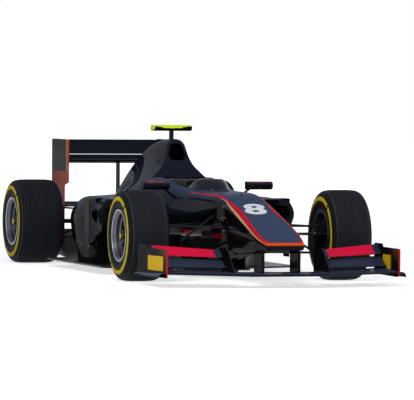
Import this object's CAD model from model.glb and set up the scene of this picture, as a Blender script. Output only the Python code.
from math import cos, exp, pi, radians, sin

import bmesh
import bpy
from mathutils import Matrix, Vector
from mathutils.bvhtree import BVHTree


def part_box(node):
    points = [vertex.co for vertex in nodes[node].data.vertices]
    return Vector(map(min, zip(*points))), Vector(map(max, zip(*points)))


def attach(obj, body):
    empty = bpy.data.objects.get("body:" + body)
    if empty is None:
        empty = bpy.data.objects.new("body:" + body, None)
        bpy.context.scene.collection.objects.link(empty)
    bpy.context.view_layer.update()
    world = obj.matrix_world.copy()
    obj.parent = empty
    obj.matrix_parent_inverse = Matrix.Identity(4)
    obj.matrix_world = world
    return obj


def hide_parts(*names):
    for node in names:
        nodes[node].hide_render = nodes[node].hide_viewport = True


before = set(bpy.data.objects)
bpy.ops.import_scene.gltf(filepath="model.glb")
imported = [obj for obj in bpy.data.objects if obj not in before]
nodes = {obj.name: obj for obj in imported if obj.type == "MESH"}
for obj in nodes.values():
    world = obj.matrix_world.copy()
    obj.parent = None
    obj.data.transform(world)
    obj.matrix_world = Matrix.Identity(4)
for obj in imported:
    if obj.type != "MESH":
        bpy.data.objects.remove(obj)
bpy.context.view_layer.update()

scene = bpy.context.scene
scene.view_settings.view_transform = "Standard"


def middleOf(node):
    low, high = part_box(node)
    return (low + high) / 2


ends = ("front", "rear")
sides = (("left", 1), ("right", -1))
frontAxle = middleOf("front_tyre_left")
rearAxle = middleOf("rear_tyre_left")

# Camera, from the photograph's vanishing lines, for an image of 414 by 400 pixels
photo = {"width": 414, "height": 400, "focal": 4292.0, "centreX": 191.4, "centreY": 212.0,
         "sensor": 36.0}
viewpoint = {"target": (0, -0.1425, 0.45), "azimuth": -16.626, "elevation": 1.697,
             "distance": 31.576, "roll": 0.462}


def placeCamera():
    azimuth, elevation = radians(viewpoint["azimuth"]), radians(viewpoint["elevation"])
    back = Vector((sin(azimuth) * cos(elevation), -cos(azimuth) * cos(elevation), sin(elevation)))
    right = (-back).cross(Vector((0, 0, 1))).normalized()
    up = right.cross(-back)
    roll = radians(viewpoint["roll"])
    turnedRight = right * cos(roll) + up * sin(roll)
    turnedUp = up * cos(roll) - right * sin(roll)
    data = bpy.data.cameras.new("camera")
    data.sensor_width = photo["sensor"]
    data.lens = photo["focal"] / photo["width"] * photo["sensor"]
    data.shift_x = (photo["width"] / 2 - photo["centreX"]) / photo["width"]
    data.shift_y = (photo["centreY"] - photo["height"] / 2) / photo["width"]
    camera = bpy.data.objects.new("camera", data)
    turned = Matrix((turnedRight, turnedUp, back)).transposed().to_4x4()
    place = Vector(viewpoint["target"]) + back * viewpoint["distance"]
    camera.matrix_world = Matrix.Translation(place) @ turned
    scene.collection.objects.link(camera)
    scene.camera = camera


placeCamera()
print("camera placed")


# Shader sockets take part in Python sums, and any other node comes from make()
class Socket:
    def __init__(self, socket):
        self.socket = socket

    def make(self, kind, settings, values, output=0):
        tree = self.socket.id_data
        node = tree.nodes.new(kind)
        for name, value in settings.items():
            if name == "points":
                curve = node.mapping.curves[0]
                curve.points[0].location, curve.points[1].location = value[0], value[-1]
                for point in value[1:-1]:
                    curve.points.new(*point)
                node.mapping.update()
            else:
                setattr(node, name, value)
        for name, value in values.items():
            if isinstance(value, Socket):
                tree.links.new(value.socket, node.inputs[name])
            else:
                node.inputs[name].default_value = value
        return Socket(node.outputs[output])

    def maths(self, operation, *others):
        values = dict(enumerate((self,) + others))
        return self.make("ShaderNodeMath", {"operation": operation}, values)

    def __add__(self, other):
        return self.maths("ADD", other)

    def __mul__(self, other):
        return self.maths("MULTIPLY", other)

    def __sub__(self, other):
        return self.maths("SUBTRACT", other)

    def __rsub__(self, other):
        return self.make("ShaderNodeMath", {"operation": "SUBTRACT"}, {0: other, 1: self})

    def __truediv__(self, other):
        return self.maths("DIVIDE", other)

    def __abs__(self):
        return self.maths("ABSOLUTE")

    __radd__ = __add__
    __rmul__ = __mul__

    def above(self, edge, blur=0.001):  # 0 below the edge and 1 above it
        if isinstance(edge, Socket):
            return (self - edge).above(0, blur)
        return self.make("ShaderNodeMapRange", {"clamp": True}, {
            0: self, 1: edge - blur, 2: edge + blur, 3: 0.0, 4: 1.0})

    def within(self, low, high, blur=0.001):
        return self.above(low, blur) * (1 - self.above(high, blur))

    def mix(self, low, high):  # two colours, by this mask
        return self.make("ShaderNodeMix", {"data_type": "RGBA"}, {0: self, 6: low, 7: high}, 2)

    def axis(self, letter):
        return self.make("ShaderNodeSeparateXYZ", {}, {0: self}, "XYZ".index(letter))

    def noise(self, scale, detail=2.0, rough=0.5):
        return self.make("ShaderNodeTexNoise", {}, {
            "Vector": self, "Scale": scale, "Detail": detail, "Roughness": rough})

    def stretch(self, x, y, z):
        return self.make("ShaderNodeVectorMath", {"operation": "MULTIPLY"}, {0: self, 1: (x, y, z)})

    def bump(self, height, strength):
        return self.make("ShaderNodeBump", {}, {
            "Height": self, "Distance": height, "Strength": strength})

    def curve(self, points):  # a line through points, each in its own units
        xs, ys = [p[0] for p in points], [p[1] for p in points]
        width, height = max(xs) - min(xs), max(max(ys) - min(ys), 1e-6)
        shares = [((x - min(xs)) / width, (y - min(ys)) / height) for x, y in points]
        found = self.make("ShaderNodeFloatCurve", {"points": shares},
                          {"Value": (self - min(xs)) / width})
        return found * height + min(ys)


def paint(red, green, blue):  # a screen colour of 0 to 255 as the light it stands for
    shares = [value / 255 for value in (red, green, blue)]
    return tuple(share / 12.92 if share <= 0.04045 else ((share + 0.055) / 1.055) ** 2.4
                 for share in shares) + (1.0,)


def between(low, high, share):
    return low + (high - low) * share


def feed(shader, values):
    for name, value in values.items():
        if isinstance(value, Socket):
            shader.id_data.links.new(value.socket, shader.inputs[name])
        else:
            shader.inputs[name].default_value = value


def newMaterial(name, look, *settings):  # look works out the shader's values from the place
    material = bpy.data.materials.new(name)
    material.use_nodes = True
    tree = material.node_tree
    place = Socket(tree.nodes.new("ShaderNodeTexCoord").outputs["Object"])
    feed(tree.nodes["Principled BSDF"], look(place, *settings))
    return material


def facingUp(place):  # 1 where the surface looks straight up, 0 where it stands
    return place.make("ShaderNodeNewGeometry", {}, {}, 1).axis("Z")


gloss = {"dark": paint(9, 10, 14), "sky": paint(48, 57, 78), "noseSky": paint(60, 72, 99),
         "wingSky": paint(28, 32, 42), "dust": paint(74, 70, 66), "dustTop": 0.36,
         "dustShare": 0.22, "dustRoughness": 0.35, "roughness": 0.16, "coat": 0.13,
         "coatRoughness": 0.06, "peelScale": 320.0, "peel": 0.0002}


def blackPaint(place, slate="sky"):  # deep on the flanks, slate where it faces the sky
    return facingUp(place).above(0.55, 0.45).mix(gloss["dark"], gloss[slate])


def glossLook(place, colour=blackPaint):
    grime = place.noise(9.0, 5.0, 0.6)
    low = (1 - place.axis("Z").above(gloss["dustTop"] / 2, gloss["dustTop"] / 2)) * grime
    return {
        "Base Color": (low * gloss["dustShare"]).mix(colour(place), gloss["dust"]),
        "Roughness": low * gloss["dustRoughness"] + grime * 0.04 + gloss["roughness"],
        "Coat Weight": gloss["coat"] - low * 0.1, "Coat Roughness": gloss["coatRoughness"],
        "Specular IOR Level": 0.0,
        "Normal": place.noise(gloss["peelScale"]).bump(gloss["peel"], 0.25)}


livery = {"red": paint(205, 14, 36), "gold": paint(214, 178, 126), "orange": paint(232, 80, 14),
          "lowRed": paint(150, 10, 18), "tan": paint(196, 150, 96), "rust": paint(196, 66, 26)}
# Edge lines, measured on the photograph: place along the car from the front axle, then
# the red's inner edge as half width, and the heights of the red's and the gold's lower edges
redInner = ((-1.07, 0.08), (-1.04, 0.106), (-1.0, 0.126), (-0.93, 0.137), (-0.82, 0.138),
            (-0.68, 0.133), (-0.5, 0.119), (-0.4, 0.115), (-0.3, 0.119), (-0.2, 0.127),
            (-0.1, 0.132), (0.0, 0.136), (0.12, 0.146), (0.36, 0.152), (0.7, 0.17))
redLower = ((-1.07, 0.303), (-0.96, 0.326), (-0.86, 0.355), (-0.71, 0.403), (-0.52, 0.461),
            (-0.37, 0.505), (-0.23, 0.543), (-0.1, 0.577), (0.0, 0.59), (0.12, 0.597),
            (0.36, 0.603), (0.7, 0.606))
goldLower = ((-1.07, 0.288), (-0.96, 0.313), (-0.83, 0.35), (-0.69, 0.391), (-0.5, 0.449),
             (-0.35, 0.498), (-0.22, 0.537), (-0.1, 0.573), (0.0, 0.588), (0.12, 0.597),
             (0.36, 0.603), (0.7, 0.606))
noseEnds = {"orange": -0.94, "orangeBlur": 0.07, "gold": -0.02, "red": 0.62, "blur": 0.05}
sideBand = {"low": 0.3, "high": 0.332, "rise": 0.015, "front": -0.09, "rear": 0.72,
            "lineHalf": 0.004, "lineFoot": 0.306, "lineTop": 0.5, "lineShare": 0.7}
# The thin line that turns up from the band's front end, as height and place along the car
upturnedLine = ((0.3, -0.09), (0.34, -0.2), (0.371, -0.25), (0.427, -0.22),
                (0.454, -0.183), (0.52, -0.15))


def noseLivery(place):
    along = place.axis("Y") - frontAxle.y
    half = abs(place.axis("X"))
    height = place.axis("Z")
    up = height.above(along.curve(redLower), 0.002)
    redEnd = 1 - along.above(noseEnds["red"], noseEnds["blur"])
    red = half.above(along.curve(redInner)) * up * redEnd
    goldEnd = 1 - along.above(noseEnds["gold"], noseEnds["blur"])
    gold = height.above(along.curve(goldLower)) * (1 - up) * goldEnd
    toOrange = 1 - along.above(noseEnds["orange"], noseEnds["orangeBlur"])
    trim = toOrange.mix(livery["gold"], livery["orange"])
    flank = along.within(sideBand["front"], sideBand["rear"], 0.01)
    rise = (along - sideBand["front"]) * sideBand["rise"]
    band = flank * (height - rise).within(sideBand["low"], sideBand["high"], 0.002)
    base = gold.mix(blackPaint(place, "noseSky"), trim)
    onLine = 1 - abs(along - height.curve(upturnedLine)).above(sideBand["lineHalf"])
    line = onLine * height.within(sideBand["lineFoot"], sideBand["lineTop"], 0.01)
    base = (line * sideBand["lineShare"]).mix(base, livery["lowRed"])
    return red.maths("MAXIMUM", band).mix(base, band.mix(livery["red"], livery["lowRed"]))


weave = {"tows": 430.0, "lean": 0.7, "dark": paint(13, 13, 15), "light": paint(29, 30, 33),
         "depth": 0.0002, "dustTop": 0.2, "dustBlur": 0.15, "dustShare": 0.3}


# Twill weave: each tow passes over two and under two, a step further in each row
def twill(place):
    leaning = place.axis("Z") * weave["lean"]
    across = (place.axis("X") + leaning) * weave["tows"]
    along = (place.axis("Y") + leaning) * weave["tows"]
    step = across.maths("FLOOR") + along.maths("FLOOR")
    return (step / 4).maths("FRACT").above(0.5, 0.01)


def carbonLook(place, roughness=0.36, coat=0.1):
    over = twill(place)
    grime = place.noise(14.0, 4.0)
    low = 1 - place.axis("Z").above(weave["dustTop"], weave["dustBlur"])
    dusty = low * grime * weave["dustShare"]
    return {
        "Base Color": dusty.mix(over.mix(weave["dark"], weave["light"]), gloss["dust"]),
        "Roughness": grime * 0.25 + roughness - 0.1, "Coat Weight": coat,
        "Coat Roughness": 0.12, "Specular IOR Level": 0.12,
        "Normal": over.bump(weave["depth"], 0.3)}


soot = {"colour": paint(30, 28, 26), "scale": 7.0, "share": 0.35}


def metalLook(place, colour, roughness, grain=60.0, metallic=1.0):
    wear = place.noise(grain, 4.0)
    sooty = place.noise(soot["scale"], 3.0) * soot["share"]
    return {
        "Base Color": sooty.mix(colour, soot["colour"]),
        "Metallic": metallic, "Roughness": wear * 0.2 + roughness - 0.1,
        "Normal": place.noise(grain * 6).bump(0.0003, 0.2)}


wheelPaint = {"grey": paint(112, 114, 122), "lip": paint(176, 179, 188), "lipRadius": 0.1775,
              "dust": paint(48, 46, 46), "dustShare": 0.5, "metallic": 0.85}


def aroundAxle(place, axle):  # radius and turn about an axle
    along = place.axis("Y") - axle.y
    height = place.axis("Z") - axle.z
    radius = (along * along + height * height).maths("SQRT")
    return radius, along.maths("ARCTAN2", height)


def rimLook(place, axle):
    lip = aroundAxle(place, axle)[0].above(wheelPaint["lipRadius"], 0.002)
    dust = place.noise(22.0, 4.0)
    grey = (dust * wheelPaint["dustShare"]).mix(wheelPaint["grey"], wheelPaint["dust"])
    return {
        "Base Color": lip.mix(grey, wheelPaint["lip"]),
        "Metallic": wheelPaint["metallic"], "Roughness": dust * 0.2 + 0.3 - lip * 0.12,
        "Normal": place.noise(240.0).bump(0.0003, 0.2)}


tyre = {"rubber": paint(21, 22, 26), "tread": paint(45, 47, 53), "scuffs": 0.8,
            "edge": paint(74, 77, 84), "edgeWidth": 0.005, "edgeShare": 0.7,
            "edgeRadius": 0.292, "treadRadius": 0.312,
            "treadHalf": {"front": 0.1225, "rear": 0.1625}, "yellow": paint(232, 206, 24),
            "bandInner": 0.246, "bandOuter": 0.274, "bandWear": 0.35, "gapTurn": -0.68,
            "gapHalf": 0.04, "rings": 900.0}


# Scuffed tread with a light line at its edge, and a yellow band broken twice on each sidewall
def tyreLook(place, end, axle):
    radius, turn = aroundAxle(place, axle)
    half = tyre["treadHalf"][end]
    aside = abs(abs(place.axis("X")) - axle.x)
    edge = aside.within(half - tyre["edgeWidth"], half) * radius.above(
        tyre["edgeRadius"], 0.004)
    tread = radius.above(tyre["treadRadius"], 0.004) * (1 - aside.above(half, 0.002))
    scuff = place.stretch(26.0, 1.2, 1.2).noise(3.0, 5.0, 0.6)
    blotch = place.noise(10.0, 5.0, 0.65)
    turned = (turn - tyre["gapTurn"]) / pi
    fromGap = abs((turned + 0.5).maths("FRACT") - 0.5) * pi
    band = radius.within(tyre["bandInner"], tyre["bandOuter"], 0.0007)
    yellow = band * fromGap.above(tyre["gapHalf"], 0.004)
    base = (scuff * tyre["scuffs"] * tread).mix(tyre["rubber"], tyre["tread"])
    base = (edge * tyre["edgeShare"]).mix(base, tyre["edge"])
    rings = (radius * tyre["rings"]).maths("SINE") * (1 - tread) * 0.3
    yellow = yellow * (1 - blotch * tyre["bandWear"])
    return {
        "Base Color": yellow.mix(base, tyre["yellow"]),
        "Roughness": blotch * 0.25 + 0.55 + tread * 0.1, "Specular IOR Level": 0.08,
        "Normal": (scuff * tread + rings + blotch * 0.3).bump(0.0008, 0.4)}


redFlap = {"inner": 0.412, "outer": 0.8, "crimson": paint(222, 12, 38),
           "sheen": paint(232, 34, 110), "sheenShare": 0.3}


def flapPaint(place):  # red between two half widths, black at its ends
    red = abs(place.axis("X")).within(redFlap["inner"], redFlap["outer"], 0.002)
    sheen = facingUp(place).above(0.7, 0.3) * redFlap["sheenShare"]
    return red.mix(blackPaint(place), sheen.mix(redFlap["crimson"], redFlap["sheen"]))


frontPlate = {"edge": 0.014, "edgeFoot": 0.008, "patchY": (-0.965, -0.645),
              "patchZ": (0.112, 0.212), "outside": 0.842, "yellow": paint(244, 196, 20),
              "dark": paint(11, 12, 14), "glow": paint(104, 82, 40), "glowShare": 0.8,
              "glowDrop": 0.08, "glowBlur": 0.05, "glowLong": 0.12, "glowFade": 0.1}
rearPlate = {"split": 0.705, "trim": 0.022, "tanWidth": 0.03, "olive": paint(27, 31, 25),
             "deepRust": paint(120, 24, 14)}


def frontPlatePaint(place):
    low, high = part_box("front_wing_endplates")
    along, height = place.axis("Y"), place.axis("Z")
    edge = 1 - along.above(low.y + frontPlate["edge"])
    edge = edge * height.above(low.z + frontPlate["edgeFoot"])
    glow = height.above(high.z - frontPlate["glowDrop"], frontPlate["glowBlur"]) * (
        1 - along.above(low.y + frontPlate["glowLong"], frontPlate["glowFade"]))
    patch = (along - frontAxle.y).within(*frontPlate["patchY"])
    patch = patch * height.within(*frontPlate["patchZ"])
    outside = abs(place.axis("X")).above(frontPlate["outside"])
    base = (glow * frontPlate["glowShare"]).mix(frontPlate["dark"], frontPlate["glow"])
    base = (patch * outside).mix(base, frontPlate["yellow"])
    return edge.mix(base, livery["red"])


def rearPlatePaint(place):
    low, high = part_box("rear_wing_endplates")
    along, height = place.axis("Y"), place.axis("Z")
    lower = 1 - height.above(rearPlate["split"], 0.0015)
    fade = (along - low.y) / (high.y - low.y)
    rust = fade.mix(livery["rust"], rearPlate["deepRust"])
    base = lower.mix(rearPlate["olive"], rust)
    trim = low.y + rearPlate["trim"]
    tan = (1 - along.above(trim + rearPlate["tanWidth"], 0.002)) * (1 - lower)
    edge = 1 - along.above(trim, 0.002)
    return edge.mix(tan.mix(base, livery["tan"]), livery["rust"])


mirrorMark = {"inner": 0.325, "outer": 0.445, "low": 0.6795}


def mirrorPaint(place):  # a short red line along the top of each housing
    half = abs(place.axis("X")).within(mirrorMark["inner"], mirrorMark["outer"], 0.002)
    mark = half * place.axis("Z").above(mirrorMark["low"])
    return mark.mix(blackPaint(place), livery["red"])


pod = {"yellow": paint(216, 250, 20), "dark": paint(10, 10, 12), "centre": 0.075,
           "shift": 0.006, "drop": 0.022, "slope": 0.12, "end": 0.012}


def podPaint(place):  # yellow over a line that rises outwards, and at the right end
    low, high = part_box("camera_pod")
    half = abs(place.axis("X"))
    height = place.axis("Z") - (high.z - pod["drop"])
    wedge = (half - pod["centre"]) * pod["slope"]
    top = height.above(0) * (1 - half.above(pod["centre"]))
    taper = (height - wedge).above(pod["shift"])
    end = 1 - place.axis("X").above(low.x + pod["end"])
    yellow = top.maths("MAXIMUM", taper).maths("MAXIMUM", end)
    return yellow.mix(pod["dark"], pod["yellow"])


rainLamp = {"beads": 110.0, "bead": 0.32, "deep": paint(90, 4, 6), "bright": paint(214, 30, 24)}


def lampLook(place):
    cells = (place.axis("X") * rainLamp["beads"]).maths("FRACT") - 0.5
    rows = (place.axis("Z") * rainLamp["beads"]).maths("FRACT") - 0.5
    beads = 1 - (cells * cells + rows * rows).maths("SQRT").above(rainLamp["bead"], 0.05)
    return {
        "Base Color": beads.mix(rainLamp["deep"], rainLamp["bright"]), "Roughness": 0.15,
        "Coat Weight": 0.6, "Normal": beads.bump(0.001, 0.4)}


foam = {"threads": 900.0, "worn": paint(58, 58, 60), "wear": 0.4}


def foamLook(place, colour):
    across, along = place.axis("X") * foam["threads"], place.axis("Y") * foam["threads"]
    threads = across.maths("SINE") * along.maths("SINE")
    worn = place.noise(16.0, 4.0)
    return {
        "Base Color": (worn * foam["wear"]).mix(colour, foam["worn"]),
        "Roughness": worn * 0.15 + 0.78, "Sheen Weight": 0.25,
        "Normal": (threads * 0.5 + worn).bump(0.0006, 0.4)}


def screenLook(place):
    smear = place.noise(18.0, 4.0)
    return {
        "Base Color": paint(34, 36, 42), "Roughness": smear * 0.12 + 0.06,
        "Alpha": smear * 0.06 + 0.86, "Specular IOR Level": 0.2,
        "Normal": smear.bump(0.0003, 0.1)}


def woodLook(place):
    grain = place.stretch(40.0, 2.0, 40.0).noise(3.0, 5.0)
    return {
        "Base Color": grain.mix(paint(58, 42, 26), paint(104, 80, 52)),
        "Roughness": grain * 0.2 + 0.6, "Normal": grain.bump(0.0006, 0.4)}


def finLook(place):  # close rows of cooling fins
    fins = (place.axis("Z") * 620.0).maths("SINE")
    tubes = (place.axis("Z") * 62.0).maths("FRACT").above(0.82, 0.03)
    return {
        "Base Color": tubes.mix(paint(38, 40, 44), paint(92, 94, 98)),
        "Metallic": 0.8, "Roughness": 0.45,
        "Normal": (fins * 0.5 + tubes).bump(0.001, 0.5)}


def finishNodes(material, *names):
    for name in names:
        for slot in nodes[name].material_slots:
            slot.material = material


def finishOf(node):
    return nodes[node].material_slots[0].material


black = newMaterial("blackGloss", glossLook)
carbon = newMaterial("carbonTwill", carbonLook)
mattCarbon = newMaterial("mattCarbon", carbonLook, 0.5, 0.0)
cast = newMaterial("castAlloy", metalLook, paint(78, 78, 80), 0.55, 90.0, 0.7)
steel = newMaterial("machinedSteel", metalLook, paint(120, 120, 124), 0.35)
discCarbon = newMaterial("discCarbon", metalLook, paint(44, 44, 46), 0.5, 120.0, 0.3)
finishNodes(newMaterial("noseLivery", glossLook, noseLivery), "nose_cone", "monocoque")
finishNodes(black, "engine_cover", "sidepod_left", "sidepod_right",
            "front_wing_main_plane", "front_wing_lower_flaps", "beam_wing")
finishNodes(newMaterial("rearWingBlack", glossLook, lambda place: blackPaint(place, "wingSky")),
            "rear_wing_main_plane", "rear_wing_flap")
finishNodes(newMaterial("mirrorPaint", glossLook, mirrorPaint), "mirrors")
finishNodes(newMaterial("redFlap", glossLook, flapPaint), "front_wing_upper_flaps")
finishNodes(newMaterial("frontPlates", glossLook, frontPlatePaint), "front_wing_endplates")
finishNodes(newMaterial("rearPlates", glossLook, rearPlatePaint), "rear_wing_endplates")
finishNodes(newMaterial("podPaint", glossLook, podPaint), "camera_pod")
finishNodes(carbon, "floor", "diffuser", "bargeboards", "seat", "crash_structure")
finishNodes(mattCarbon, "front_wishbones", "front_pushrods", "rear_wishbones", "rear_links",
            "steering_wheel", "rack_housing", "front_upright_left", "front_upright_right")
finishNodes(cast, "engine", "gearbox", "rear_uprights")
finishNodes(steel, "steering_rack", "driveshaft_left", "driveshaft_right")
finishNodes(discCarbon, *[f"{end}_brake_disc_{side}" for end in ends for side, sign in sides])
finishNodes(newMaterial("lampLens", lampLook), "rain_light")
finishNodes(newMaterial("tintedScreen", screenLook), "windscreen")
finishNodes(newMaterial("plankBoard", woodLook), "plank")
finishNodes(newMaterial("coolingFins", finLook), "radiators")
finishNodes(newMaterial("headFoam", foamLook, paint(20, 20, 22)), "headrest")
for end, axle in zip(ends, (frontAxle, rearAxle)):
    finishNodes(newMaterial(f"{end}Rims", rimLook, axle), f"{end}_rim_left", f"{end}_rim_right")
    finishNodes(newMaterial(f"{end}Tyres", tyreLook, end, axle), f"{end}_tyre_left",
                f"{end}_tyre_right")
print("materials made")


def newObject(name, shape):  # an object at the origin, with the shape's mesh
    mesh = bpy.data.meshes.new(name)
    shape.to_mesh(mesh)
    shape.free()
    made = bpy.data.objects.new(name, mesh)
    scene.collection.objects.link(made)
    return made


sharpFrom = radians(35)


def addPiece(name, shape, material, body):
    piece = newObject(name, shape)
    piece.data.materials.append(material)
    for face in piece.data.polygons:
        face.use_smooth = True
    piece.data.set_sharp_from_angle(angle=sharpFrom)
    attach(piece, body)
    return piece


def surfaceOf(node):
    mesh = nodes[node].data
    return BVHTree.FromPolygons([v.co for v in mesh.vertices],
                                [tuple(face.vertices) for face in mesh.polygons])


def dropOn(surface, x, y):  # the highest point of a surface at a place
    return surface.ray_cast(Vector((x, y, 2)), Vector((0, 0, -1)))[0]


raceNumber = {"size": 0.315, "bolder": 0.012, "slant": 0.16, "middle": (-0.006, -0.368),
              "lift": 0.0007, "white": paint(244, 244, 246), "worn": paint(190, 190, 196)}


def numberLook(place):
    scuff = place.noise(60.0, 4.0)
    return {
        "Base Color": (scuff * 0.15).mix(raceNumber["white"], raceNumber["worn"]),
        "Roughness": scuff * 0.15 + 0.2, "Coat Weight": 0.3}


# A plain race number, laid on the nose
def makeNumber():
    font = bpy.data.curves.new("raceNumber", "FONT")
    font.body = "8"
    font.align_x, font.align_y = "CENTER", "CENTER"
    font.size, font.offset = raceNumber["size"], raceNumber["bolder"]
    font.shear = raceNumber["slant"]
    flat = bpy.data.objects.new("flatNumber", font)
    scene.collection.objects.link(flat)
    mesh = bpy.data.meshes.new_from_object(flat)
    bpy.data.objects.remove(flat)
    shape = bmesh.new()
    shape.from_mesh(mesh)
    low = Vector([min(v.co[i] for v in shape.verts) for i in range(3)])
    high = Vector([max(v.co[i] for v in shape.verts) for i in range(3)])
    x, along = raceNumber["middle"]
    moved = Vector((x, frontAxle.y + along, 0)) - (low + high) / 2
    bmesh.ops.translate(shape, verts=shape.verts, vec=moved)
    bmesh.ops.remove_doubles(shape, verts=shape.verts, dist=0.0002)
    bmesh.ops.triangulate(shape, faces=shape.faces)
    nose = surfaceOf("nose_cone")
    for vert in shape.verts:
        vert.co.z = dropOn(nose, vert.co.x, vert.co.y).z + raceNumber["lift"]
    addPiece("raceNumber", shape, newMaterial("numberWhite", numberLook), "car")


makeNumber()
print("race number laid on")


def faceOutwards(shape):
    bmesh.ops.recalc_face_normals(shape, faces=shape.faces)
    return shape


def tidied(shape):  # doubles merged first
    bmesh.ops.remove_doubles(shape, verts=shape.verts, dist=0.00002)
    return faceOutwards(shape)


# A profile of place along the axis and radius, turned all the way round
def spun(profile, centre, steps=96, closed=True, direction=(1, 0, 0), across=(0, 0, 1)):
    shape = bmesh.new()
    direction, across = Vector(direction), Vector(across)
    points = [shape.verts.new(Vector(centre) + direction * place + across * radius)
              for place, radius in profile]
    pairs = list(zip(points, points[1:])) + ([(points[-1], points[0])] if closed else [])
    edges = [shape.edges.new(pair) for pair in pairs]
    bmesh.ops.spin(shape, geom=points + edges, cent=Vector(centre), axis=direction,
                   angle=2 * pi, steps=steps, use_merge=True)
    return tidied(shape)


def turnedUp(profile, foot, steps):  # about an upright axis, its ends on the axis
    return spun(profile, foot, steps, False, (0, 0, 1), (1, 0, 0))


def joinShapes(*shapes):  # one shape from several
    whole = bmesh.new()
    for shape in shapes:
        mesh = bpy.data.meshes.new("part")
        shape.to_mesh(mesh)
        shape.free()
        whole.from_mesh(mesh)
        bpy.data.meshes.remove(mesh)
    return whole


def softBox(size, centre, bevel, segments=2):  # a box with rounded edges
    shape = bmesh.new()
    bmesh.ops.create_cube(shape, size=1.0)
    bmesh.ops.scale(shape, vec=size, verts=shape.verts)
    roundEdges(shape, shape.edges[:], bevel, segments)
    move(shape, centre)
    return shape


def placedBy(shape, matrix):
    bmesh.ops.transform(shape, matrix=matrix, verts=shape.verts)
    return faceOutwards(shape)


def move(shape, vec):
    bmesh.ops.translate(shape, vec=vec, verts=shape.verts)


def swing(shape, centre, angle, axis):
    bmesh.ops.rotate(shape, cent=centre, matrix=Matrix.Rotation(angle, 3, axis), verts=shape.verts)


def inset(shape, face, width, depth=0.0):
    bmesh.ops.inset_region(shape, faces=[face], thickness=width, depth=depth, use_boundary=True)


def largest(shape):
    return max(shape.faces, key=lambda face: face.calc_area())


def roundEdges(shape, edges, width, segments):
    bmesh.ops.bevel(shape, geom=edges, offset=width, affect="EDGES", segments=segments,
                    profile=0.5, material=-1)


def bothSides(shape, sign):  # the left piece, or its mirror image on the right
    if sign < 0:
        bmesh.ops.scale(shape, vec=(-1, 1, 1), verts=shape.verts)
        faceOutwards(shape)
    return shape


# Half of the tyre's outline, as distance in from the sidewall and radius
tyreShape = {"steps": 128, "half": (
    (0.015, 0.1662), (0.015, 0.1868), (0.0105, 0.1915), (0.0085, 0.1935), (0.005, 0.199),
    (0.0018, 0.212), (0.0004, 0.228), (0.0, 0.242), (0.0004, 0.256), (0.0022, 0.269),
    (0.0056, 0.2805), (0.007, 0.283), (0.0078, 0.2835), (0.0118, 0.293), (0.019, 0.303),
    (0.0285, 0.311), (0.04, 0.316), (0.055, 0.3192), (0.08, 0.3214), (0.115, 0.3225))}


def wheelSize(end):  # half the width and the centre of an axle's left tyre
    low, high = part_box(f"{end}_tyre_left")
    return (high.x - low.x) / 2, (low + high) / 2


def makeTyre(end, side, sign):
    node = f"{end}_tyre_{side}"
    half, centre = wheelSize(end)
    outline = [(half - inward, radius) for inward, radius in tyreShape["half"]]
    outline += [(-place, radius) for place, radius in reversed(outline)]
    shape = bothSides(spun(outline, centre, tyreShape["steps"]), sign)
    piece = addPiece(f"{end}Tyre{side.title()}", shape, finishOf(node), f"{end}_{side}_wheel")
    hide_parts(node)


rim = {"steps": 96, "lip": 0.0075, "flange": 0.007, "face": 0.058, "plate": 0.016,
       "hub": 0.046, "bore": 0.0255, "hubInner": 0.064, "hubSteps": 64}
spoke = {"count": 10, "inner": 0.04, "outer": 0.152, "hubWidth": 0.017, "rimWidth": 0.03,
         "dish": 0.003, "pocket": 0.0045, "pocketRim": 0.0045, "rounding": 0.0014,
         "roundFrom": 0.03, "startTurn": 1.67}
nut = {"radius": 0.027, "length": 0.046, "sides": 12, "taper": 0.86, "recess": 0.012,
       "chamfer": 0.006, "edge": 0.003, "rounding": 0.0009}


def makeRimBarrel(half, centre):
    lip = half - rim["lip"]
    seat = lip - rim["flange"]
    face = lip - rim["face"]
    drop = face - rim["plate"]
    # place across the wheel and radius: the tyre's seat, the outer lip, then the inside
    outline = [(-lip, 0.185), (-seat, 0.185), (-seat, 0.166), (-seat / 3, 0.166),
               (-seat / 5, 0.156), (drop, 0.156), (face, 0.166), (seat, 0.166), (seat, 0.1842),
               (seat + 0.001, 0.185), (lip - 0.002, 0.185), (lip, 0.1835), (lip, 0.1795),
               (lip - 0.0015, 0.178), (lip - 0.005, 0.1768), (lip - 0.006, 0.17),
               (lip - 0.012, 0.164), (lip - 0.024, 0.1605), (lip - 0.0255, 0.159),
               (face + 0.007, 0.159), (face, 0.149), (drop, 0.149), (-seat / 5, 0.149),
               (-seat / 3, 0.159), (-lip, 0.159)]
    return spun(outline, centre, rim["steps"]), face


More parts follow.
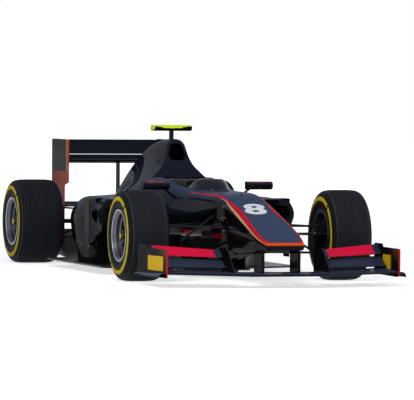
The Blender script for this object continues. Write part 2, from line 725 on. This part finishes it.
# A spoke widens towards the barrel and has a pocket milled in its outer face
def makeSpokes(face, centre):
    shape = bmesh.new()
    bmesh.ops.create_cube(shape, size=1.0)
    for vert in shape.verts:
        top = vert.co.z > 0
        vert.co.z = spoke["outer"] if top else spoke["inner"]
        vert.co.y *= spoke["rimWidth"] if top else spoke["hubWidth"]
        sunk = 0.0 if top else spoke["dish"]
        vert.co.x = face - sunk - (0.0 if vert.co.x > 0 else rim["plate"] - 0.001)
    front = max(shape.faces, key=lambda each: each.calc_center_median().x)
    inset(shape, front, spoke["pocketRim"])
    moved = bmesh.ops.extrude_discrete_faces(shape, faces=[front])["faces"]
    verts = {vert for each in moved for vert in each.verts}
    bmesh.ops.translate(shape, vec=(-spoke["pocket"], 0, 0), verts=list(verts))
    longEdges = [edge for edge in shape.edges if edge.calc_length() > spoke["roundFrom"]]
    roundEdges(shape, longEdges, spoke["rounding"], 2)
    move(shape, centre)
    count = spoke["count"]
    swing(shape, centre, pi / count * spoke["startTurn"], "X")
    bmesh.ops.spin(shape, geom=shape.verts[:] + shape.edges[:] + shape.faces[:], cent=centre,
                   axis=(1, 0, 0), angle=2 * pi * (count - 1) / count, steps=count - 1,
                   use_duplicate=True)
    return tidied(shape)


def makeHub(face, centre):
    bore, hub = rim["bore"], rim["hub"]
    outline = [(-rim["hubInner"], bore), (-rim["hubInner"], hub),
               (face - rim["plate"], hub), (face - 0.002, hub + 0.006),
               (face + 0.001, hub + 0.002), (face + 0.001, bore + 0.012),
               (face + 0.004, bore + 0.01), (face + 0.004, bore)]
    return spun(outline, centre, rim["hubSteps"])


def makeNut(face, centre):
    shape = bmesh.new()
    length, radius = nut["length"], nut["radius"]
    bmesh.ops.create_cone(shape, cap_ends=True, segments=nut["sides"], radius1=radius,
                          radius2=radius * nut["taper"], depth=length - 0.004)
    swing(shape, (0, 0, 0), pi / 2, "Y")
    move(shape, centre + Vector((face + length / 2 + 0.002, 0, 0)))
    caps = [each for each in shape.faces if len(each.verts) == nut["sides"]]
    outer = max(caps, key=lambda each: each.calc_center_median().x)
    inset(shape, outer, nut["chamfer"])
    inset(shape, outer, nut["edge"], -nut["recess"])
    roundEdges(shape, shape.edges[:], nut["rounding"], 1)
    return shape


def makeRim(end, side, sign):
    node, wheel = f"{end}_rim_{side}", f"{end}_{side}_wheel"
    half, centre = wheelSize(end)
    barrel, face = makeRimBarrel(half, centre)
    whole = joinShapes(barrel, makeSpokes(face, centre), makeHub(face, centre))
    piece = addPiece(f"{end}Rim{side.title()}", bothSides(whole, sign), finishOf(node), wheel)
    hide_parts(node)
    addPiece(f"{end}WheelNut{side.title()}", bothSides(makeNut(face, centre), sign), nutGold,
             wheel)


nutGold = newMaterial("nutGold", metalLook, paint(150, 146, 60), 0.3)
for end in ends:
    for side, sign in sides:
        makeTyre(end, side, sign)
        makeRim(end, side, sign)
print("tyres and rims turned")


# The smoked screen: a raked bubble from the tub's top to the sides of the cockpit
bubble = {"steps": 36, "rows": 10, "front": 0.53, "rear": 0.846, "wide": 0.15, "pinch": 0.3,
          "topFront": 0.665, "topHeight": 0.706, "endHeight": 0.64, "wall": 0.004,
          "sunk": 0.004, "tubFrom": 0.58, "openingFoot": 0.632}


def makeScreen():
    tub = surfaceOf("monocoque")
    shape = bmesh.new()
    bmesh.ops.create_grid(shape, x_segments=bubble["steps"], y_segments=bubble["rows"], size=0.5)
    for vert in shape.verts:
        turn, up = vert.co.x * pi, vert.co.y + 0.5
        aside = abs(sin(turn))
        bend = aside ** 1.25
        x = bubble["wide"] * sin(turn) / max(aside, 1e-9) * aside ** 0.8
        x *= 1 - bubble["pinch"] * up * (1 - bend * 0.6)
        front = between(bubble["front"], bubble["topFront"], up)
        y = frontAxle.y + between(front, bubble["rear"], 1 - abs(cos(turn)) ** 1.15)
        crown = between(bubble["endHeight"], bubble["topHeight"], 1 - bend ** 5)
        found = dropOn(tub, x, y)
        base = found.z if found and found.z > bubble["tubFrom"] else bubble["openingFoot"]
        base -= bubble["sunk"]
        vert.co = Vector((x, y, base + (crown - base) * sin(up * pi / 2) ** 0.9))
    screen = addPiece("screen", faceOutwards(shape), finishOf("windscreen"), "car")
    wall = screen.modifiers.new("wall", "SOLIDIFY")
    wall.thickness = bubble["wall"]
    wall.offset = 0.0
    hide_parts("windscreen")


makeScreen()
print("screen bent")

matt = {"worn": paint(70, 70, 72), "wear": 0.35, "wearScale": 80.0, "grain": 640.0}


def mattLook(place, colour, roughness):
    wear = place.noise(matt["wearScale"], 4.0)
    return {
        "Base Color": (wear * matt["wear"]).mix(colour, matt["worn"]),
        "Roughness": wear * 0.2 + roughness - 0.1, "Specular IOR Level": 0.2,
        "Normal": place.noise(matt["grain"]).bump(0.0002, 0.2)}


mirror = {"middle": (0.392, 0.824, 0.655), "glass": (0.18, 0.0016, 0.046), "rounding": 0.0006,
          "edge": (0.19, 0.055, 1), "edgeWidth": 0.005, "edgeWall": 0.0024}


def mirrorGlassLook(place):
    smear = place.noise(30.0, 3.0)
    return {
        "Base Color": (smear * 0.2).mix(paint(206, 212, 218), paint(150, 156, 164)),
        "Metallic": 1.0, "Roughness": smear * 0.08 + 0.02,
        "Normal": smear.bump(0.0002, 0.1)}


# Glass on the rear of each mirror housing, inside a thin rubber edge
def makeMirrorGlass():
    glass = newMaterial("mirrorGlass", mirrorGlassLook)
    rubber = newMaterial("blackRubber", mattLook, paint(20, 20, 20), 0.7)
    centre = Vector(mirror["middle"]) + Vector((0, frontAxle.y, 0))
    for side, sign in sides:
        plate = softBox(mirror["glass"], centre, mirror["rounding"])
        addPiece(f"mirrorGlass{side.title()}", bothSides(plate, sign), glass, "car")
        ring = bmesh.new()
        bmesh.ops.create_grid(ring, x_segments=1, y_segments=1, size=0.5)
        bmesh.ops.scale(ring, vec=mirror["edge"], verts=ring.verts)
        inset(ring, largest(ring), mirror["edgeWidth"])
        bmesh.ops.delete(ring, geom=[largest(ring)], context="FACES_ONLY")
        bmesh.ops.solidify(ring, geom=ring.faces[:], thickness=mirror["edgeWall"])
        swing(faceOutwards(ring), (0, 0, 0), -pi / 2, "X")
        move(ring, centre)
        addPiece(f"mirrorEdge{side.title()}", bothSides(ring, sign), rubber, "car")


makeMirrorGlass()

# On the tub's centre line: an aerial ahead of the screen and a low probe ahead of that
aerial = {"along": 0.455, "outline": (
    (-0.003, 0.0), (-0.003, 0.011), (0.002, 0.011), (0.006, 0.006), (0.012, 0.0034),
    (0.015, 0.0026), (0.07, 0.0017), (0.0735, 0.001), (0.0745, 0.0))}
probe = {"along": -0.04, "outline": (
    (-0.003, 0.0), (-0.003, 0.012), (0.0015, 0.012), (0.004, 0.0075), (0.01, 0.0065),
    (0.0135, 0.0045), (0.015, 0.0))}


def makeOnTub(name, form):
    foot = dropOn(surfaceOf("monocoque"), 0, frontAxle.y + form["along"])
    addPiece(name, turnedUp(form["outline"], foot, 28), darkFitting, "car")


darkFitting = newMaterial("darkFitting", mattLook, paint(14, 14, 16), 0.4)
makeOnTub("aerial", aerial)
makeOnTub("noseProbe", probe)
print("mirror glass, aerial and probe fitted")

# Steering wheel controls, on the side that faces the seat: x and y lie in its face
controls = {"behind": 0.935, "height": 0.612, "rise": 15.0,
            "grip": (0.035, 0.112, 0.034), "gripX": 0.1205, "gripDrop": -0.012,
            "ridge": (0.0365, 0.006, 0.0355), "ridges": (-0.034, -0.018, -0.002, 0.014, 0.03),
            "bezel": (0.104, 0.058, 0.005), "display": (0.09, 0.044, 0.006), "displayUp": 0.038,
            "paddle": (0.052, 0.034, 0.0035), "paddleAt": (0.094, 0.022, -0.034),
            "button": 0.0062, "buttonHeight": 0.005,
            "buttons": ((0.056, 0.052), (0.058, 0.026), (0.05, -0.012)),
            "knob": 0.0105, "knobHeight": 0.012, "knobs": ((0.024, -0.018), (0.03, -0.052))}


def makeControls():
    rise = radians(controls["rise"])
    turn = Matrix(((1, 0, 0), (0, -sin(rise), cos(rise)), (0, cos(rise), sin(rise)))).transposed()
    middle = (0, frontAxle.y + controls["behind"], controls["height"])
    face = Matrix.Translation(middle) @ turn.to_4x4()
    gripX, gripDrop, up = controls["gripX"], controls["gripDrop"], controls["displayUp"]
    grips = [softBox(controls["grip"], (x * gripX, 0, gripDrop), 0.011, segments=4)
             for x in (-1, 1)]
    ridges = [softBox(controls["ridge"], (x * gripX, y, gripDrop), 0.002)
              for x in (-1, 1) for y in controls["ridges"]]
    addPiece("wheelGrips", placedBy(joinShapes(*grips, *ridges), face),
             newMaterial("gripRubber", mattLook, paint(24, 24, 26), 0.75), "wheel_and_column")
    bezel = softBox(controls["bezel"], (0, up, 0.001), 0.002)
    aside, along, drop = controls["paddleAt"]
    paddles = [softBox(controls["paddle"], (x * aside, along, drop), 0.0014) for x in (-1, 1)]
    addPiece("wheelBezel", placedBy(joinShapes(bezel, *paddles), face), darkFitting,
             "wheel_and_column")
    display = softBox(controls["display"], (0, up, 0.002), 0.001)
    addPiece("wheelDisplay", placedBy(display, face), newMaterial("displayGlass", displayLook),
             "wheel_and_column")
    caps = []
    for kind in ("button", "knob"):
        size, height = controls[kind], controls[f"{kind}Height"]
        outline = ((-0.002, 0.0), (-0.002, size), (height * 0.7, size), (height, size * 0.8),
                   (height, 0.0))
        caps += [turnedUp(outline, (sign * x, y, 0), 20) for x, y in controls[f"{kind}s"]
                 for sign in (-1, 1)]
    addPiece("wheelButtons", placedBy(joinShapes(*caps), face),
             newMaterial("buttonCaps", buttonLook), "wheel_and_column")


def displayLook(place):  # a dark glass panel with a plain row of level bars
    bars = (place.axis("X") * 160.0).maths("FRACT").above(0.35, 0.03)
    row = place.axis("Z").within(0.646, 0.658, 0.0005) * (
        1 - abs(place.axis("X")).above(0.036, 0.0005))
    smear = place.noise(40.0, 3.0)
    return {
        "Base Color": (bars * row).mix(paint(16, 20, 26), paint(120, 168, 150)),
        "Roughness": smear * 0.1 + 0.1, "Coat Weight": 0.3}


def buttonLook(place):
    side = place.axis("X").above(0.0)
    upper = place.axis("Z").above(0.625)
    colour = upper.mix(side.mix(paint(34, 60, 120), paint(200, 170, 30)),
                       side.mix(paint(190, 24, 24), paint(40, 130, 60)))
    return {"Base Color": colour, "Roughness": place.noise(200.0) * 0.1 + 0.3}


makeControls()
print("steering wheel dressed")

# Soft pads: remeshed from the CAD solids, swelled by cloth pressure, then seamed
pad = {"shrink": 0.004, "pressure": 4.0, "frames": 20, "cap": 0.006, "groove": 0.003,
       "seamWidth": 0.0045}


def remade(piece):  # the piece's mesh with its modifiers applied
    depsgraph = bpy.context.evaluated_depsgraph_get()
    mesh = bpy.data.meshes.new_from_object(piece.evaluated_get(depsgraph))
    piece.modifiers.clear()
    old, piece.data = piece.data, mesh
    bpy.data.meshes.remove(old)


def makePad(name, node, material, form):
    shape = bmesh.new()
    shape.from_mesh(nodes[node].data)
    tidied(shape)
    for vert in shape.verts:
        vert.co -= vert.normal * pad["shrink"]
    piece = newObject(name, shape)
    remesh = piece.modifiers.new("remesh", "REMESH")
    remesh.mode, remesh.voxel_size = "VOXEL", form["voxel"]
    remade(piece)
    before = [vert.co.copy() for vert in piece.data.vertices]
    cloth = piece.modifiers.new("cloth", "CLOTH")
    cloth.settings.use_pressure = True
    cloth.settings.uniform_pressure_force = pad["pressure"]
    cloth.settings.effector_weights.gravity = 0
    cloth.point_cache.frame_end = pad["frames"]
    for number in range(1, pad["frames"] + 1):
        scene.frame_set(number)
    remade(piece)
    for vert, start in zip(piece.data.vertices, before):
        moved = vert.co - start
        if moved.length > pad["cap"]:
            vert.co = start + moved.normalized() * pad["cap"]
    scene.frame_set(1)
    smooth = piece.modifiers.new("smooth", "SUBSURF")
    smooth.levels = smooth.render_levels = 1
    remade(piece)
    # each seam is a plane that the cover is drawn in along
    normals = [vert.normal.copy() for vert in piece.data.vertices]
    for vert, normal in zip(piece.data.vertices, normals):
        depth = sum(exp(-((Vector(across).dot(vert.co) - place) / pad["seamWidth"]) ** 2)
                    for across, place in form["seams"])
        vert.co -= normal * min(depth, 1.0) * pad["groove"]
    piece.data.materials.clear()
    piece.data.materials.append(material)
    for face in piece.data.polygons:
        face.use_smooth = True
    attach(piece, "car")
    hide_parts(node)


# A seam is the direction across its plane, and the plane's distance from the origin
headPad = {"voxel": 0.005, "fill": 0.7,
           "seams": [((1, 0, 0), -0.111), ((1, 0, 0), 0.111), ((0, 0, 1), 0.682)]}
reclined = Vector((0, 0.225, 0.361)).normalized()
seatPad = {"voxel": 0.006, "fill": 0.6,
           "seams": [(reclined, 0.08 + 0.085 * step) for step in range(5)]
           + [((1, 0, 0), -0.105), ((1, 0, 0), 0.105)]}
makePad("headPad", "headrest", finishOf("headrest"), headPad)
print("head pad swelled")
makePad("seatPad", "seat", newMaterial("seatCover", foamLook, paint(26, 26, 30)), seatPad)
print("seat pad swelled")

# Quarter-turn studs along the panels' edges
stud = {"radius": 0.0078, "height": 0.0016, "segments": 20, "coverRow": (0.3, 0.23, 6),
        "coverHeight": 0.604, "noseY": -1.514, "tubY": -1.47, "seamHeights": (0.36, 0.45, 0.53),
        "noseTopX": 0.07, "podTopRow": (-0.18, 0.26, 6), "podTopX": 0.64,
        "podSideRow": (-0.1, 0.26, 5), "podSideHeight": 0.2}


def makeStuds(name, node, rays):
    surface = surfaceOf(node)
    radius, height = stud["radius"], stud["height"]
    studs = []
    for start, direction in rays:
        place, normal = surface.ray_cast(Vector(start), Vector(direction))[:2]
        if not place:
            continue
        each = bmesh.new()
        bmesh.ops.create_cone(each, cap_ends=True, segments=stud["segments"], radius1=radius,
                              radius2=radius * 0.88, depth=height)
        top = max(each.faces, key=lambda face: face.calc_center_median().z)
        inset(each, top, radius * 0.45)
        inset(each, top, radius * 0.06, -height * 0.5)
        turn = normal.to_track_quat("Z", "Y").to_matrix().to_4x4()
        studs.append(placedBy(each, Matrix.Translation(place) @ turn))
    addPiece(name, joinShapes(*studs), steel, "car")


def evenly(start, step, count):
    return [start + step * number for number in range(count)]


def fromSides(ys, zs, signs=(-1, 1)):  # rays inwards at these places
    return [((sign, y, z), (-sign, 0, 0)) for sign in signs for y in ys for z in zs]


def fromAbove(xs, ys):
    return [((x, y, 2), (0, 0, -1)) for x in xs for y in ys]


makeStuds("coverStuds", "engine_cover", fromSides(evenly(*stud["coverRow"]), [stud["coverHeight"]]))
makeStuds("noseStuds", "nose_cone", fromSides([stud["noseY"]], stud["seamHeights"])
          + fromAbove([-stud["noseTopX"], stud["noseTopX"]], [stud["noseY"]]))
makeStuds("tubStuds", "monocoque", fromSides([stud["tubY"]], stud["seamHeights"]))
for side, sign in sides:
    makeStuds(f"podStuds{side.title()}", f"sidepod_{side}",
              fromAbove([sign * stud["podTopX"]], evenly(*stud["podTopRow"]))
              + fromSides(evenly(*stud["podSideRow"]), [stud["podSideHeight"]], [sign]))
print("studs set")

# The small oval inlet on the cover's right flank
inlet = {"y": 0.385, "z": 0.815, "long": 0.048, "high": 0.028, "lip": 0.006,
         "proud": 0.0054, "foot": 0.0009, "mouth": 0.9, "mouthRise": 0.0012}


def makeInlet():
    start = Vector((-1, inlet["y"], inlet["z"]))
    place, normal = surfaceOf("engine_cover").ray_cast(start, Vector((1, 0, 0)))[:2]
    turn = normal.to_track_quat("Z", "Y").to_matrix().to_4x4()
    ring = bmesh.new()
    long, high = inlet["long"] / 2, inlet["high"] / 2
    bmesh.ops.create_circle(ring, cap_ends=True, segments=40, radius=1.0)
    bmesh.ops.scale(ring, vec=(long, high, 1), verts=ring.verts)
    mouth = ring.copy()
    inset(ring, largest(ring), inlet["lip"] / 2)
    inset(ring, largest(ring), inlet["lip"] / 2)
    for vert in ring.verts:  # only the middle of the lip stands proud
        share = (vert.co.x / long) ** 2 + (vert.co.y / high) ** 2
        vert.co.z = inlet["proud"] if 0.55 < share < 0.9 else inlet["foot"]
    bmesh.ops.delete(ring, geom=[largest(ring)], context="FACES_ONLY")
    for vert in mouth.verts:
        vert.co *= inlet["mouth"]
        vert.co.z = inlet["mouthRise"]
    for name, shape, material in (("coverInletLip", ring, black),
                                  ("coverInletMouth", mouth, darkFitting)):
        shape = placedBy(shape, Matrix.Translation(place) @ turn)
        addPiece(name, shape, material, "car")


# A rolled channel under each front endplate, flared at its front
channel = {"front": -1.02, "rear": -0.42, "frontRadius": 0.03, "rearRadius": 0.018,
           "flare": 1.6, "tall": 1.15, "low": 0.066, "frontX": 0.862, "rearX": 0.878,
           "wall": 0.0025, "lit": paint(92, 103, 126)}


def channelPaint(place):
    return facingUp(place).above(0.35, 0.4).mix(gloss["dark"], channel["lit"])


channelSlate = newMaterial("channelSlate", glossLook, channelPaint)


def makeChannel(side, sign):
    shape = bmesh.new()
    bmesh.ops.create_grid(shape, x_segments=16, y_segments=24, size=0.5)
    for vert in shape.verts:
        turn, share = (vert.co.x + 0.5) * pi, vert.co.y + 0.5
        flared = (1 - share) ** channel["flare"]
        radius = between(channel["rearRadius"], channel["frontRadius"], flared)
        middle = between(channel["frontX"], channel["rearX"], share)
        along = between(channel["front"], channel["rear"], share)
        vert.co = Vector((middle + radius * cos(turn), frontAxle.y + along,
                          channel["low"] + radius * channel["tall"] * sin(turn)))
    piece = addPiece(f"plateChannel{side.title()}", bothSides(shape, sign), channelSlate, "car")
    wall = piece.modifiers.new("wall", "SOLIDIFY")
    wall.thickness = channel["wall"]


makeInlet()
for side, sign in sides:
    makeChannel(side, sign)
print("inlet and channels formed")

studio = {"floor": paint(226, 227, 229), "span": 60.0, "dim": 0.5, "keyPower": 600.0,
          "key": (-4.5, -7.0, 8.0), "fillPower": 200.0, "fill": (7.0, -6.0, 4.0),
          "lampSize": 5.0, "glow": 0.66, "farGlow": 0.5, "farFrom": 60.0, "farBlur": 40.0,
          "sky": (0.3, 0.34, 0.42, 1.0), "skyFrom": 0.3, "skyBlur": 0.22}


def rayKind(place, *kinds):  # 1 for rays of these kinds
    found = None
    for kind in kinds:
        outputs = place.make("ShaderNodeLightPath", {}, {}).socket.node.outputs
        ray = Socket(outputs[f"Is {kind} Ray"])
        found = found.maths("MAXIMUM", ray) if found else ray
    return found


def floorLook(place):  # it glows to the background's white, more so far out
    seen = rayKind(place, "Camera", "Glossy", "Transmission")
    across, along = place.axis("X"), place.axis("Y")
    far = (across * across + along * along).above(studio["farFrom"], studio["farBlur"])
    return {
        "Base Color": studio["floor"], "Roughness": 0.9, "Specular IOR Level": 0.1,
        "Emission Color": (1.0, 1.0, 1.0, 1.0),
        "Emission Strength": seen * (far * studio["farGlow"] + studio["glow"])}


def makeFloor():
    shape = bmesh.new()
    bmesh.ops.create_grid(shape, x_segments=1, y_segments=1, size=studio["span"])
    ground = newObject("studioFloor", shape)
    ground.data.materials.append(newMaterial("studioFloor", floorLook))


def makeSky():
    world = bpy.data.worlds.new("studio")
    scene.world = world
    world.use_nodes = True
    background = world.node_tree.nodes["Background"]
    looking = Socket(world.node_tree.nodes.new("ShaderNodeTexCoord").outputs["Generated"])
    overhead = looking.axis("Z").above(studio["skyFrom"], studio["skyBlur"])
    camera = rayKind(looking, "Camera")
    seen = rayKind(looking, "Camera", "Glossy", "Transmission")
    feed(background, {"Color": (overhead * (1 - camera)).mix((1.0, 1.0, 1.0, 1.0), studio["sky"]),
                      "Strength": seen * (1 - studio["dim"]) + studio["dim"]})


def makeLamps():
    for name in ("key", "fill"):
        data = bpy.data.lights.new(name, "AREA")
        data.energy = studio[f"{name}Power"]
        data.shape, data.size = "DISK", studio["lampSize"]
        lamp = bpy.data.objects.new(name, data)
        lamp.location = studio[name]
        lamp.rotation_euler = (-Vector(studio[name])).to_track_quat("-Z", "Y").to_euler()
        scene.collection.objects.link(lamp)


makeFloor()
makeSky()
makeLamps()
print("studio lit")
